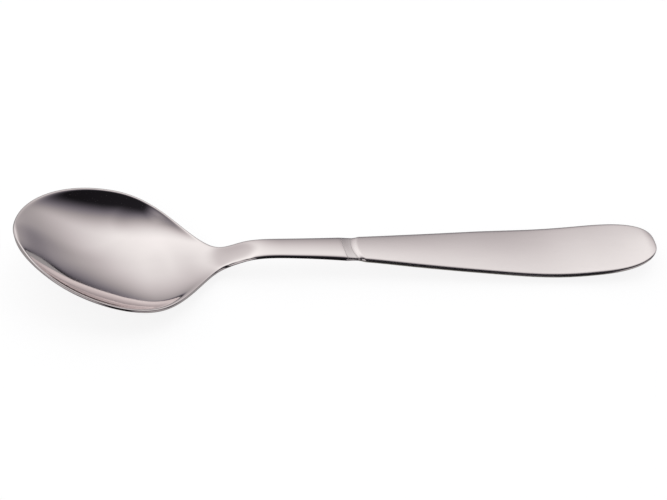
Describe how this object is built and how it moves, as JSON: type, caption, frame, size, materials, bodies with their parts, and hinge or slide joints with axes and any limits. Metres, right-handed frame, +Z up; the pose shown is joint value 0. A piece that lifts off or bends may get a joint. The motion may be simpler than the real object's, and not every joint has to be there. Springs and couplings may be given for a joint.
{
  "type": "coffee spoon",
  "caption": "Slim steel coffee spoon: polished egg-shaped bowl on a narrow neck, a fine collar, and a satin hollow handle that widens to a rounded, slightly upturned end.",
  "frame": {"origin": "bottom centre of the bounding box, on the table the spoon rests on", "axes": "+X along the length from the bowl's tip to the handle's end, +Y across to the far side in the picture, +Z up"},
  "size_m": [0.135, 0.0302, 0.0109],
  "materials": {
    "polished_steel": "mirror polished",
    "collar_steel": "polished",
    "satin_steel": "satin",
    "braze": "ground flush",
    "cement": "matt"
  },
  "bodies": {
    "root": {"bowl": "polished_steel", "collar": "collar_steel", "upper_shell": "satin_steel", "lower_shell": "satin_steel", "seam": "braze", "filler": "cement"}
  },
  "joints": []
}
